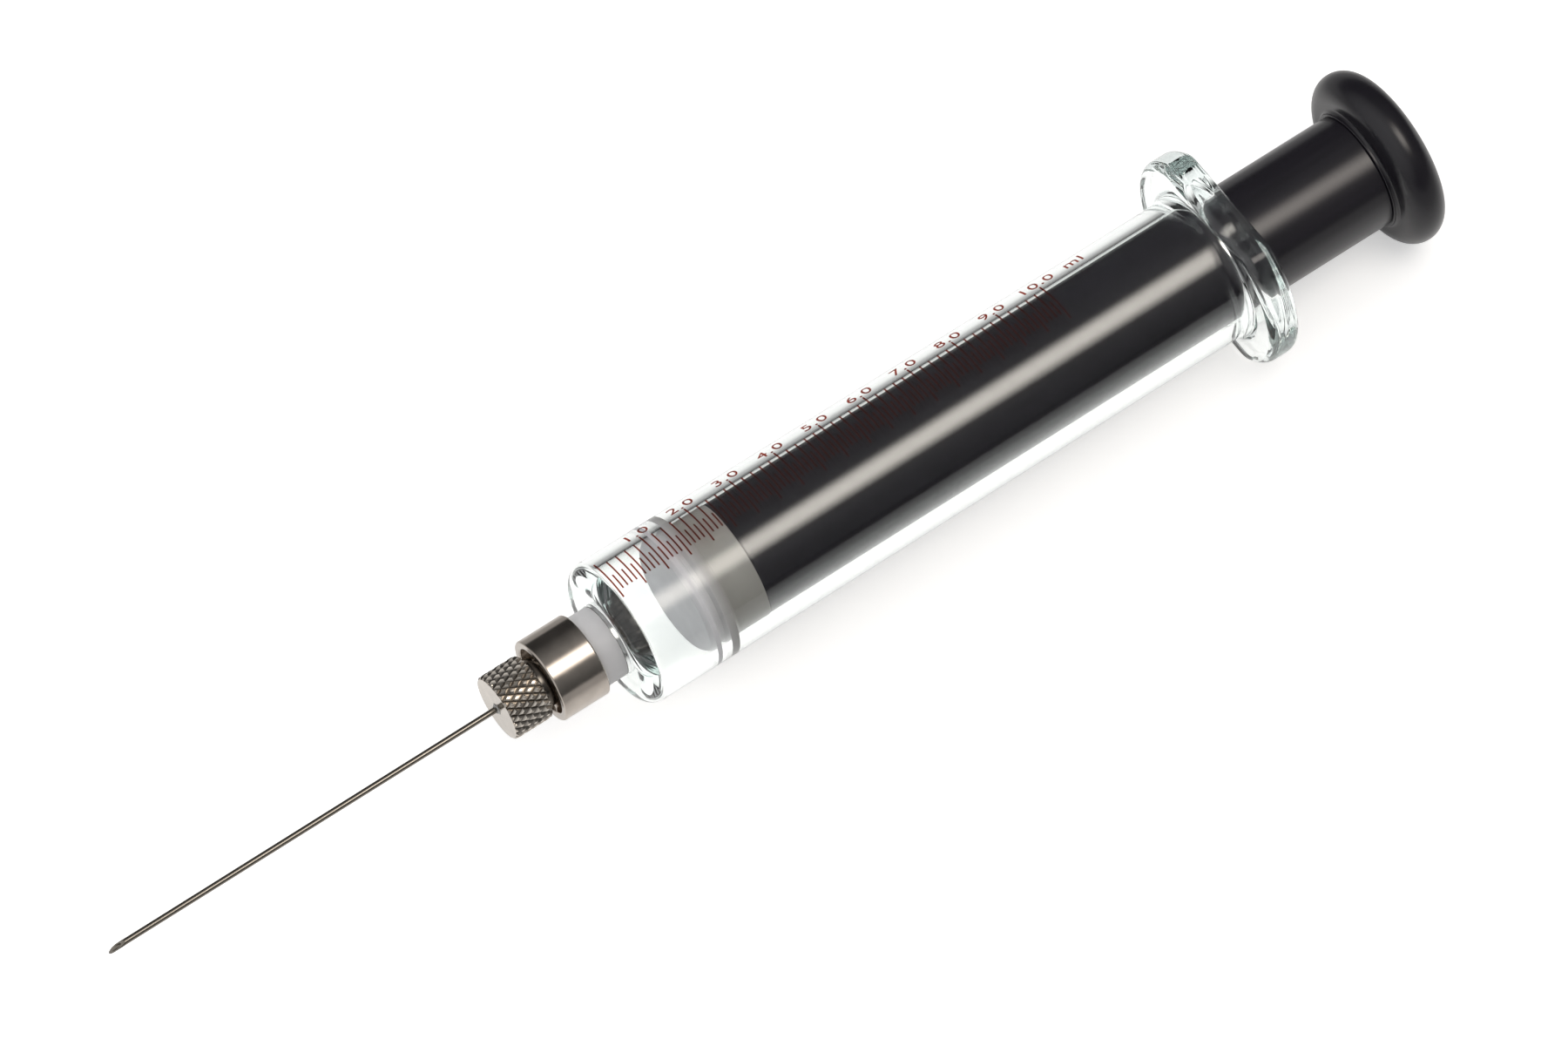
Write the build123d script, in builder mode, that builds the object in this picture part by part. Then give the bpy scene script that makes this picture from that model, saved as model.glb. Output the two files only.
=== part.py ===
from build123d import *
import os
from math import degrees, pi, radians, sqrt, tan

os.makedirs("parts", exist_ok=True)

# Gas-tight glass syringe lying on the flat of its finger flange.
# The axis runs along X, with the needle towards -X and the thumb button towards +X. +Z is up.
# The origin is on the axis, in the front face of the finger flange. Millimetres.

# ---- Scale and bore ----
full_volume = 10.0              # millilitres at the last scale line
scale_length = 60.0             # plunger travel from the zero line to the last line
held_volume = 1.1               # millilitres drawn in where the plunger stands
line_volume = 0.1               # millilitres from one line to the next
bore_radius = sqrt(1000 * full_volume / (pi * scale_length))
travel_per_millilitre = scale_length / full_volume

# ---- Glass barrel ----
wall = 1.57                     # of the tube
end_wall = 2.2                  # of the closed front, behind the luer fitting
shoulder_round = 2.15           # outside, where the tube turns into the end wall
bore_end_round = 0.3            # inside, where the bore meets the end wall
bore_mouth_round = 0.5
last_line_setback = 19.0        # flange face to the last line
home_gap = 0.1                  # plunger tip to the end wall, with the plunger home
flange_reach = 4.2              # finger flange beyond the tube
flange_thickness = 3.9
flange_flat_reach = 1.75        # flats beyond the tube, so that the syringe doesn't roll
flange_corner_round = 2.5
flange_edge_round = 1.1         # fire-polished edges
flange_root_round = 1.2
barrel_radius = bore_radius + wall
flange_radius = barrel_radius + flange_reach
flat_height = barrel_radius + flange_flat_reach
zero_line_x = -(last_line_setback + scale_length)
bore_end_x = zero_line_x - home_gap
glass_front_x = bore_end_x - end_wall

# ---- Printed scale, fired on the top of the tube ----
line_width = 0.18
line_thickness = 0.05
long_line_lead = 0.95           # arc by which half and whole millilitre lines start early
odd_line_arc = 2.15             # arcs, along the tube, from the common start of the lines
even_line_arc = 4.5
whole_line_arc = 5.25

# ---- Luer fitting of PTFE, set in the end wall ----
sleeve_radius = 4.38
sleeve_length = 2.8             # bare, between glass and lock collar
spigot_radius = 3.8             # in the end wall
cement_thickness = 0.5          # round the spigot
cement_gap = 0.02               # cement to glass, where it shrank
neck_radius = 3.2               # through the back of the lock collar
snap_rim_height = 0.25          # holds the lock collar on the neck
snap_rim_length = 0.5
seat_gap = 0.05                 # between parts pushed together
passage_radius = 0.6
luer_taper = 0.06               # on diameter, for each millimetre
luer_tip_radius = 1.985
luer_tip_reach = 2.1            # beyond the lock collar's mouth

# ---- Lock collar ----
collar_length = 5.9
collar_back = 0.85              # end wall round the neck
collar_wall = 1.0
collar_chamfer = 0.25
mouth_chamfer = 0.3
thread_lead = 5.0               # two starts
thread_root_radius = 4.06
thread_height = 0.5
ridge_root_width = 1.1
ridge_crest_width = 0.5
ridge_inset = 0.7               # both ends of the thread, from the mouth and from the back

# ---- Needle ----
luer_engagement = 5.0           # hub mouth to the luer tip
luer_gap = 0.05                 # running gap of the taper, on radius
hub_clearance = 0.56            # hub inside the thread's crests
ear_root_gap = 0.15             # ears to the thread's root
ear_width = 2.6
ear_thickness = 0.7
grip_rise = 0.96                # knurled grip beyond the hub
grip_length = 4.85
grip_standoff = 0.9             # grip to the lock collar's mouth
grip_chamfer = 0.2
hub_end_wall = 1.3
needle_radius = 0.359           # 22 gauge
needle_wall = 0.152
needle_length = 50.8            # bare, beyond the hub
bevel_angle = 20.0
solder_wall = 0.3               # ring round the needle in the hub
solder_gap = 0.03
solder_bead = 0.3               # stands proud of the hub

# ---- Plunger ----
tip_gap = 0.03                  # seal lips to the bore, on radius
tip_length = 7.9
tip_body_gap = 0.22             # behind the lips
lip_length = 1.0
lip_groove_length = 1.3
lip_groove_depth = 0.35
lip_chamfer = 0.4
rod_gap = 0.3
rod_overhang = 21.0             # rod behind the flange face, where the plunger stands
rod_chamfer = 0.2
nose_radius = 2.9               # screwed into the tip
nose_length = 4.6
nose_end_gap = 0.3
button_reach = 3.92             # thumb button beyond the rod
button_rim_round = 2.5          # full round of the button's rim
button_neck_reach = 0.3
button_neck_length = 0.6
button_flare_round = 0.5
stem_radius = 3.0               # pressed into the rod
stem_length = 7.0
stem_end_gap = 0.5

touch = 1e-4                    # places closer than this are the same


def ring_edges(piece, x, radius):
    """The circular edges of a turned piece at one place and one radius."""
    return piece.edges().filter_by(
        lambda edge: edge.geom_type == GeomType.CIRCLE
        and abs(edge.arc_center.X - x) < touch
        and abs(edge.radius - radius) < touch
    )


# ---- Glass barrel with its pressed finger flange ----
end_hole_radius = spigot_radius + cement_thickness + cement_gap

with BuildPart() as barrel:
    with BuildSketch(Plane.YZ):
        Circle(flange_radius)
        Rectangle(2 * flange_radius, 2 * flat_height, mode=Mode.INTERSECT)
    extrude(amount=flange_thickness)
    fillet(barrel.edges().filter_by(Axis.X), flange_corner_round)
    fillet(barrel.faces().filter_by(Axis.X).edges(), flange_edge_round)
    with BuildSketch(Plane.XZ):
        with BuildLine():
            Polyline(
                (glass_front_x, 0),
                (glass_front_x, barrel_radius),
                (flange_thickness / 2, barrel_radius),
                (flange_thickness / 2, 0),
                close=True,
            )
        make_face()
    revolve(axis=Axis.X)
    fillet(ring_edges(barrel, 0, barrel_radius), flange_root_round)
    fillet(ring_edges(barrel, glass_front_x, barrel_radius), shoulder_round)
    with BuildSketch(Plane.XZ):
        with BuildLine():
            Polyline(
                (glass_front_x, 0),
                (glass_front_x, end_hole_radius),
                (bore_end_x, end_hole_radius),
                (bore_end_x, bore_radius),
                (flange_thickness, bore_radius),
                (flange_thickness, 0),
                close=True,
            )
        make_face()
    revolve(axis=Axis.X, mode=Mode.SUBTRACT)
    fillet(ring_edges(barrel, bore_end_x, bore_radius), bore_end_round)
    fillet(ring_edges(barrel, flange_thickness, bore_radius), bore_mouth_round)

# ---- Scale lines: every line is a thin bar of enamel bent round the tube ----
line_count = round(full_volume / line_volume)
lines_per_millilitre = round(1 / line_volume)


def line_arc(number):
    """Where a line starts and ends, as arcs along the tube from the common start."""
    start = -long_line_lead if number % (lines_per_millilitre // 2) == 0 else 0.0
    if number % lines_per_millilitre == 0:
        return start, whole_line_arc
    return start, even_line_arc if number % 2 == 0 else odd_line_arc


def lines_by_arc():
    """Places along the axis of all lines that share one start and end."""
    places = {}
    for number in range(line_count + 1):
        place = zero_line_x + number * line_volume * travel_per_millilitre
        places.setdefault(line_arc(number), []).append(place)
    return places


with BuildPart() as scale_lines:
    for (start_arc, end_arc), places in lines_by_arc().items():
        low_angle = 90 - degrees(end_arc / barrel_radius)
        span = degrees((end_arc - start_arc) / barrel_radius)
        with BuildSketch(*[Plane.YZ.offset(place - line_width / 2) for place in places]):
            with BuildLine():
                inner = CenterArc((0, 0), barrel_radius, low_angle, span)
                outer = CenterArc((0, 0), barrel_radius + line_thickness, low_angle, span)
                Line(inner @ 0, outer @ 0)
                Line(inner @ 1, outer @ 1)
            make_face()
        extrude(amount=line_width)

# ---- Luer fitting: sleeve, neck for the lock collar and male taper, turned in one ----
collar_back_x = glass_front_x - sleeve_length
collar_mouth_x = collar_back_x - collar_length
cavity_x = collar_back_x - collar_back
snap_rim_x = cavity_x - seat_gap
taper_base_x = snap_rim_x - snap_rim_length
luer_tip_x = collar_mouth_x - luer_tip_reach


def luer_radius(x):
    """Radius of the male taper at a place along the axis."""
    return luer_tip_radius + (x - luer_tip_x) * luer_taper / 2


with BuildPart() as luer_insert:
    with BuildSketch(Plane.XZ):
        with BuildLine():
            Polyline(
                (bore_end_x, passage_radius),
                (bore_end_x, spigot_radius),
                (glass_front_x, spigot_radius),
                (glass_front_x, sleeve_radius),
                (collar_back_x, sleeve_radius),
                (collar_back_x, neck_radius),
                (snap_rim_x, neck_radius),
                (snap_rim_x, neck_radius + snap_rim_height),
                (taper_base_x, neck_radius),
                (taper_base_x, luer_radius(taper_base_x)),
                (luer_tip_x, luer_tip_radius),
                (luer_tip_x, passage_radius),
                close=True,
            )
        make_face()
    revolve(axis=Axis.X)

with BuildPart() as bonding_ring:
    with BuildSketch(Plane.YZ.offset(glass_front_x)):
        Circle(spigot_radius + cement_thickness)
        Circle(spigot_radius, mode=Mode.SUBTRACT)
    extrude(amount=end_wall)

# ---- Lock collar: a ring with a two-start thread inside ----
collar_radius = thread_root_radius + collar_wall
thread_start_x = collar_mouth_x + ridge_inset
thread_span = cavity_x - ridge_inset - thread_start_x
ear_x = luer_tip_x + luer_engagement - ear_thickness / 2
join_overlap = 0.1              # ridges and ears reach into the walls that carry them
ridge_angle = 360 * (thread_start_x - ear_x) / thread_lead + 90

with BuildPart() as thread_ridge:
    with BuildLine() as ridge_path:
        Helix(
            pitch=thread_lead,
            height=thread_span,
            radius=thread_root_radius,
            center=(thread_start_x, 0, 0),
            direction=(1, 0, 0),
        )
    ridge_start = ridge_path.line @ 0
    ridge_outwards = ridge_start - Vector(ridge_start.X, 0, 0)
    with BuildSketch(Plane(ridge_start, x_dir=ridge_outwards, z_dir=ridge_path.line % 0)):
        with BuildLine():
            Polyline(
                (join_overlap, -ridge_root_width / 2),
                (join_overlap, ridge_root_width / 2),
                (0, ridge_root_width / 2),
                (-thread_height, ridge_crest_width / 2),
                (-thread_height, -ridge_crest_width / 2),
                (0, -ridge_root_width / 2),
                close=True,
            )
        make_face()
    sweep(path=ridge_path.line, is_frenet=True)

with BuildPart() as lock_collar:
    with BuildSketch(Plane.XZ):
        with BuildLine():
            Polyline(
                (collar_back_x, neck_radius + seat_gap),
                (collar_back_x, collar_radius),
                (collar_mouth_x, collar_radius),
                (collar_mouth_x, thread_root_radius),
                (cavity_x, thread_root_radius),
                (cavity_x, neck_radius + seat_gap),
                close=True,
            )
        make_face()
    revolve(axis=Axis.X)
    chamfer(ring_edges(lock_collar, collar_back_x, collar_radius), collar_chamfer)
    chamfer(ring_edges(lock_collar, collar_mouth_x, collar_radius), collar_chamfer)
    chamfer(ring_edges(lock_collar, collar_mouth_x, thread_root_radius), mouth_chamfer)
    add(thread_ridge.part.rotate(Axis.X, ridge_angle))
    add(thread_ridge.part.rotate(Axis.X, ridge_angle + 180))

# ---- Needle hub: two ears in the thread, neck, grip and female taper ----
hub_mouth_x = luer_tip_x + luer_engagement
hub_radius = thread_root_radius - thread_height - hub_clearance
ear_radius = thread_root_radius - ear_root_gap
grip_radius = hub_radius + grip_rise
grip_back_x = collar_mouth_x - grip_standoff
hub_front_x = grip_back_x - grip_length
hub_cavity_x = hub_front_x + hub_end_wall
solder_radius = needle_radius + solder_gap + solder_wall
solder_hole_radius = solder_radius + solder_gap

with BuildPart() as needle_hub:
    with BuildSketch(Plane.XZ):
        with BuildLine():
            Polyline(
                (hub_mouth_x, luer_radius(hub_mouth_x) + luer_gap),
                (hub_mouth_x, hub_radius),
                (grip_back_x, hub_radius),
                (grip_back_x, grip_radius),
                (hub_front_x, grip_radius),
                (hub_front_x, solder_hole_radius),
                (hub_cavity_x, solder_hole_radius),
                (hub_cavity_x, luer_radius(hub_cavity_x) + luer_gap),
                close=True,
            )
        make_face()
    revolve(axis=Axis.X)
    chamfer(ring_edges(needle_hub, grip_back_x, grip_radius), grip_chamfer)
    chamfer(ring_edges(needle_hub, hub_front_x, grip_radius), grip_chamfer)
    with BuildSketch(Plane.YZ.offset(hub_mouth_x - ear_thickness)):
        Rectangle(ear_width, 2 * ear_radius)
        Circle(ear_radius, mode=Mode.INTERSECT)
        Circle(hub_radius - join_overlap, mode=Mode.SUBTRACT)
    extrude(amount=ear_thickness)

with BuildPart() as solder_ring:
    with BuildSketch(Plane.XZ):
        with BuildLine():
            Polyline(
                (hub_cavity_x, needle_radius + solder_gap),
                (hub_cavity_x, solder_radius),
                (hub_front_x, solder_radius),
                (hub_front_x - solder_bead, needle_radius + solder_gap),
                close=True,
            )
        make_face()
    revolve(axis=Axis.X)

# ---- Needle: a tube with its end ground to a bevel that faces up ----
needle_tip_x = hub_front_x - needle_length
bevel_length = 2 * needle_radius / tan(radians(bevel_angle))

with BuildPart() as needle_cannula:
    with BuildSketch(Plane.YZ.offset(needle_tip_x)):
        Circle(needle_radius)
        Circle(needle_radius - needle_wall, mode=Mode.SUBTRACT)
    extrude(amount=hub_cavity_x - needle_tip_x)
    with BuildSketch(Plane.XZ):
        with BuildLine():
            Polyline(
                (needle_tip_x, -needle_radius),
                (needle_tip_x + bevel_length, needle_radius),
                (needle_tip_x, needle_radius),
                close=True,
            )
        make_face()
    extrude(amount=needle_radius, both=True, mode=Mode.SUBTRACT)

# ---- Plunger ----
tip_face_x = zero_line_x + held_volume * travel_per_millilitre
tip_back_x = tip_face_x + tip_length
lip_radius = bore_radius - tip_gap
tip_body_radius = bore_radius - tip_body_gap
groove_radius = lip_radius - lip_groove_depth
first_lip_x = tip_face_x + lip_length
second_lip_x = first_lip_x + lip_groove_length
second_lip_back_x = second_lip_x + lip_length

with BuildPart() as plunger_tip:
    with BuildSketch(Plane.XZ):
        with BuildLine():
            Polyline(
                (tip_face_x, 0),
                (tip_face_x, lip_radius - lip_chamfer),
                (tip_face_x + lip_chamfer, lip_radius),
                (first_lip_x, lip_radius),
                (first_lip_x + lip_chamfer, groove_radius),
                (second_lip_x - lip_chamfer, groove_radius),
                (second_lip_x, lip_radius),
                (second_lip_back_x, lip_radius),
                (second_lip_back_x + lip_chamfer, tip_body_radius),
                (tip_back_x, tip_body_radius),
                (tip_back_x, nose_radius + seat_gap),
                (tip_back_x - nose_length - nose_end_gap, nose_radius + seat_gap),
                (tip_back_x - nose_length - nose_end_gap, 0),
                close=True,
            )
        make_face()
    revolve(axis=Axis.X)

rod_radius = bore_radius - rod_gap

with BuildPart() as plunger_rod:
    with BuildSketch(Plane.YZ.offset(tip_back_x)):
        Circle(rod_radius)
    extrude(amount=rod_overhang - tip_back_x)
    chamfer(ring_edges(plunger_rod, tip_back_x, rod_radius), rod_chamfer)
    chamfer(ring_edges(plunger_rod, rod_overhang, rod_radius), rod_chamfer)
    with BuildSketch(Plane.YZ.offset(tip_back_x - nose_length)):
        Circle(nose_radius)
    extrude(amount=nose_length)
    with BuildSketch(Plane.YZ.offset(rod_overhang)):
        Circle(stem_radius + seat_gap)
    extrude(amount=-(stem_length + stem_end_gap), mode=Mode.SUBTRACT)

button_radius = rod_radius + button_reach
button_neck_radius = rod_radius + button_neck_reach
button_front_x = rod_overhang + button_neck_length
rim_x = button_front_x + button_rim_round
rim_ring_radius = button_radius - button_rim_round
button_back_x = rim_x + button_rim_round

with BuildPart() as thumb_button:
    with BuildSketch(Plane.XZ):
        with BuildLine():
            Polyline(
                (button_back_x, rim_ring_radius),
                (button_back_x, 0),
                (rod_overhang - stem_length, 0),
                (rod_overhang - stem_length, stem_radius),
                (rod_overhang, stem_radius),
                (rod_overhang, button_neck_radius),
                (button_front_x, button_neck_radius),
                (button_front_x, rim_ring_radius),
            )
            ThreePointArc(
                (button_front_x, rim_ring_radius),
                (rim_x, button_radius),
                (button_back_x, rim_ring_radius),
            )
        make_face()
    revolve(axis=Axis.X)
    fillet(ring_edges(thumb_button, button_front_x, button_neck_radius), button_flare_round)

for piece, label in (
    (barrel, "barrel"),
    (scale_lines, "scale_lines"),
    (luer_insert, "luer_insert"),
    (bonding_ring, "bonding_ring"),
    (lock_collar, "lock_collar"),
    (needle_hub, "needle_hub"),
    (solder_ring, "solder_ring"),
    (needle_cannula, "needle_cannula"),
    (plunger_tip, "plunger_tip"),
    (plunger_rod, "plunger_rod"),
    (thumb_button, "thumb_button"),
):
    piece.part.label = label
    export_step(piece.part, f"parts/{label}.step")
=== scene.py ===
"""Looks of a gas-tight glass syringe with a luer-lock needle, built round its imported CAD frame."""

from math import acos, asin, atan2, ceil, cos, pi, radians, sin, sqrt, tan

import bmesh
import bpy
from bpy.props import FloatProperty, FloatVectorProperty, IntProperty, PointerProperty, StringProperty
from mathutils import Matrix, Vector, noise


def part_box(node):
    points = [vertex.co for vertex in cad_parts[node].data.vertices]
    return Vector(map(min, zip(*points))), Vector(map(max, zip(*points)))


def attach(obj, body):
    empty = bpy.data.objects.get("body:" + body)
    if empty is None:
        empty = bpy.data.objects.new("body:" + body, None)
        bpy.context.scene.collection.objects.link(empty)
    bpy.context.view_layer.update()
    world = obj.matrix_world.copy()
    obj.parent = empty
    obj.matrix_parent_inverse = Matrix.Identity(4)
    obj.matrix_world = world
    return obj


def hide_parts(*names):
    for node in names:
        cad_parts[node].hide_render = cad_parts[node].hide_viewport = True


bl_info = {
    "name": "Glass Syringe",
    "version": (1, 0, 0),
    "blender": (4, 5, 0),
    "location": "3D View > Sidebar > Syringe",
    "description": "Builds a gas-tight glass syringe with its needle, plunger and studio",
    "category": "Object",
}

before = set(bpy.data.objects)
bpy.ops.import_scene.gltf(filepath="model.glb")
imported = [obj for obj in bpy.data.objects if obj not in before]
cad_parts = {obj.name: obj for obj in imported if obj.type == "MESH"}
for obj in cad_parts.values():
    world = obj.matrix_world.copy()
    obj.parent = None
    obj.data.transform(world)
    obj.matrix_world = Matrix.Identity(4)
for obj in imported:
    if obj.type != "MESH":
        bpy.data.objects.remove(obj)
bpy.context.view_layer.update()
MM = 0.001


# ---- Sizes that follow the frame, in millimetres ----
def ends(node):
    """Where a CAD node starts and ends along the axis, and its greatest reach across, in mm."""
    low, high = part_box(node)
    return low.x / MM, high.x / MM, high.y / MM


GLASS_FRONT, FLANGE_BACK, FLANGE_RADIUS = ends("barrel")
FLAT_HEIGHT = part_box("barrel")[1].z / MM
LUER_TIP, BORE_END, SLEEVE_RADIUS = ends("luer_insert")
CEMENT_RADIUS = ends("bonding_ring")[2]
COLLAR_MOUTH, COLLAR_BACK, COLLAR_RADIUS = ends("lock_collar")
HUB_FRONT, HUB_MOUTH, _ = ends("needle_hub")
BEAD_FRONT, _, SOLDER_RADIUS = ends("solder_ring")
NEEDLE_POINT, HUB_CAVITY, NEEDLE_RADIUS = ends("needle_cannula")
TIP_FACE, TIP_BACK, LIP_RADIUS = ends("plunger_tip")
NOSE_FRONT, ROD_END, ROD_RADIUS = ends("plunger_rod")
STEM_FRONT, BUTTON_BACK, BUTTON_RADIUS = ends("thumb_button")
FIRST_LINE, LAST_LINE, _ = ends("scale_lines")

BORE_RADIUS = LIP_RADIUS + 0.03
BARREL_RADIUS = BORE_RADIUS + 1.57
SHOULDER_ROUND = 2.15
FLANGE_ROOT_ROUND = 1.2
FLANGE_EDGE_ROUND = 1.1
FLANGE_CORNER_ROUND = 2.5
END_HOLE_RADIUS = CEMENT_RADIUS + 0.02
SPIGOT_RADIUS = 3.8
NECK_RADIUS = 3.2
SNAP_RIM_HEIGHT = 0.25
SNAP_RIM_LENGTH = 0.5
SEAT_GAP = 0.05
PASSAGE_RADIUS = 0.6
LUER_TIP_RADIUS = 1.985
LUER_TAPER = 0.06
COLLAR_WALL_END = COLLAR_BACK - 0.85
THREAD_ROOT_RADIUS = COLLAR_RADIUS - 1.0
THREAD_LEAD = 5.0
THREAD_HEIGHT = 0.5
RIDGE_ROOT_WIDTH = 1.1
RIDGE_CREST_WIDTH = 0.5
RIDGE_INSET = 0.7
JOIN_OVERLAP = 0.1
HUB_RADIUS = THREAD_ROOT_RADIUS - THREAD_HEIGHT - 0.56
GRIP_RADIUS = HUB_RADIUS + 0.96
GRIP_BACK = HUB_FRONT + 4.85
EAR_RADIUS = THREAD_ROOT_RADIUS - 0.15
EAR_WIDTH = 2.6
EAR_THICKNESS = 0.7
LUER_GAP = 0.05
NEEDLE_BORE_RADIUS = NEEDLE_RADIUS - 0.152
NEEDLE_BEVEL = radians(20.0)
LIP_LENGTH = 1.0
LIP_GROOVE = 1.3
PRESSED_LIP_RADIUS = BORE_RADIUS + 0.005
GROOVE_RADIUS = LIP_RADIUS - 0.35
TIP_BODY_RADIUS = BORE_RADIUS - 0.22
NOSE_RADIUS = 2.9
STEM_RADIUS = 3.0
BUTTON_NECK_RADIUS = ROD_RADIUS + 0.3
BUTTON_FRONT = ROD_END + 0.6
BUTTON_RIM_ROUND = 2.5
FINE_SEGMENTS = 256
HALF_LINE = 0.09
CAPITAL_SHARE = 0.7


def luer_radius(x):
    """Radius of the 6 % male taper at a place along the axis, in mm."""
    return LUER_TIP_RADIUS + (x - LUER_TIP) * LUER_TAPER / 2


# ---- Colours ----
def linear(hex_code):
    """An sRGB hex colour as linear red, green and blue."""
    channels = (int(hex_code[i : i + 2], 16) / 255 for i in (0, 2, 4))
    return tuple(c / 12.92 if c <= 0.04045 else ((c + 0.055) / 1.055) ** 2.4 for c in channels)


def colour(name, description, hex_code):
    """A colour setting with its default."""
    return FloatVectorProperty(
        name=name, description=description, subtype="COLOR", size=3, min=0, max=1, default=linear(hex_code)
    )


def length(name, description, size_mm):
    """A size setting in metres, with its default in millimetres."""
    return FloatProperty(
        name=name, description=description, unit="LENGTH", default=size_mm * MM, precision=5
    )


# ---- Meshes ----
def rounded(*corners, hold=0.04, step=radians(9)):
    """Points of an outline in mm, from (place, radius, rounding) corners.

    Each rounding is an arc, with a point just outside both its ends that keeps the flats flat.
    """
    points = []
    count = len(corners)
    for i, (x, r, *size) in enumerate(corners):
        here = Vector((x, r))
        size = size[0] if size else 0.0
        before = (Vector(corners[i - 1][:2]) - here).normalized()
        after = (Vector(corners[(i + 1) % count][:2]) - here).normalized()
        if not size:
            points.append(here)
            continue
        half = acos(max(-1.0, min(1.0, before.dot(after)))) / 2
        centre = here + (before + after).normalized() * size / sin(half)
        turn = pi - 2 * half
        reach = size / tan(half)
        first = here + before * reach - centre
        sign = 1 if first.cross(here + after * reach - centre) > 0 else -1
        points.append(here + before * (reach + hold))
        steps = max(2, ceil(turn / step))
        for k in range(steps + 1):
            points.append(centre + Matrix.Rotation(sign * turn * k / steps, 2) @ first)
        points.append(here + after * (reach + hold))
    return [(p.x, p.y) for p in points]


def ring(x, r, around):
    """Points about the axis, in mm. x and r are numbers, or functions of the angle."""
    points = []
    for k in range(around):
        angle = 2 * pi * k / around
        place = x(angle) if callable(x) else x
        reach = r(angle) if callable(r) else r
        points.append((place, reach * cos(angle), reach * sin(angle)))
    return points


def skin(mesh, rings, closed=False, flat=range(0)):
    """Adds quads from each ring to the next. Rings numbered in flat get crossed triangles, shaded flat."""
    rows = [[mesh.verts.new([c * MM for c in point]) for point in row] for row in rings]
    around = len(rows[0])
    for j in range(len(rows) - (0 if closed else 1)):
        lower, upper = rows[j], rows[(j + 1) % len(rows)]
        for i in range(around):
            a, b = lower[i], lower[(i + 1) % around]
            c, d = upper[(i + 1) % around], upper[i]
            if j not in flat:
                mesh.faces.new((a, b, c, d)).smooth = True
            elif (i - j) % 2:
                mesh.faces.new((a, b, d))
                mesh.faces.new((b, c, d))
            else:
                mesh.faces.new((a, b, c))
                mesh.faces.new((a, c, d))


def prism(mesh, front, back):
    """Adds a closed solid between two outlines with the same number of points, in mm."""
    front = [mesh.verts.new([c * MM for c in p]) for p in front]
    back = [mesh.verts.new([c * MM for c in p]) for p in back]
    mesh.faces.new(front)
    mesh.faces.new(back[::-1])
    for i, corner in enumerate(front):
        mesh.faces.new((corner, back[i], back[i - 1], front[i - 1]))


def finish_piece(name, mesh, node, body, material):
    """Turns a bmesh into an object that stands for a CAD node and rides on its body."""
    bmesh.ops.remove_doubles(mesh, verts=mesh.verts, dist=1e-4 * MM)
    bmesh.ops.recalc_face_normals(mesh, faces=mesh.faces)
    data = bpy.data.meshes.new(name)
    mesh.to_mesh(data)
    mesh.free()
    data.materials.append(material)
    piece = bpy.data.objects.new(name, data)
    bpy.context.scene.collection.objects.link(piece)
    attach(piece, body)
    if node:
        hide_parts(node)
    return piece


def turned(name, outline, node, body, material, around=192):
    """A piece turned about the axis from a closed outline in mm."""
    mesh = bmesh.new()
    skin(mesh, [ring(x, r, around) for x, r in outline], closed=True)
    return finish_piece(name, mesh, node, body, material)


# ---- Materials ----
def add(tree, kind, inputs=None, out=0, stops=(), **settings):
    """Adds a node with its settings and gives back one of its outputs.

    An input takes a value or the output that feeds it. Stops are a ramp's places with a colour or a grey.
    """
    node = tree.nodes.new(kind)
    for setting, value in settings.items():
        setattr(node, setting, value)
    for socket, value in (inputs or {}).items():
        if isinstance(value, bpy.types.NodeSocket):
            tree.links.new(value, node.inputs[socket])
        elif isinstance(value, tuple) and len(value) == 3 and node.inputs[socket].type == "RGBA":
            node.inputs[socket].default_value = (*value, 1.0)
        else:
            node.inputs[socket].default_value = value
    for _ in stops[2:]:
        node.color_ramp.elements.new(0.5)
    for k, (place, value) in enumerate(stops):
        element = node.color_ramp.elements[k]
        element.position = place
        element.color = (*value, 1.0) if isinstance(value, tuple) else (value, value, value, 1.0)
    return node.outputs[out] if len(node.outputs) else None


def per(size_mm):
    """Texture scale at which one feature is this many millimetres."""
    return 1 / (size_mm * MM)


def drawn_out(times):
    """Mapping scale that draws a pattern out along the axis this many times."""
    return (1 / times, 1.0, 1.0)


def new_material(name):
    """An empty node material, with its tree and its object coordinates."""
    material = bpy.data.materials.new(name)
    material.use_nodes = True
    tree = material.node_tree
    tree.nodes.clear()
    return material, tree, add(tree, "ShaderNodeTexCoord", out="Object")


def shade(colour_value, factor):
    """The same colour, lighter or darker."""
    return tuple(min(1.0, c * factor) for c in colour_value)


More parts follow.
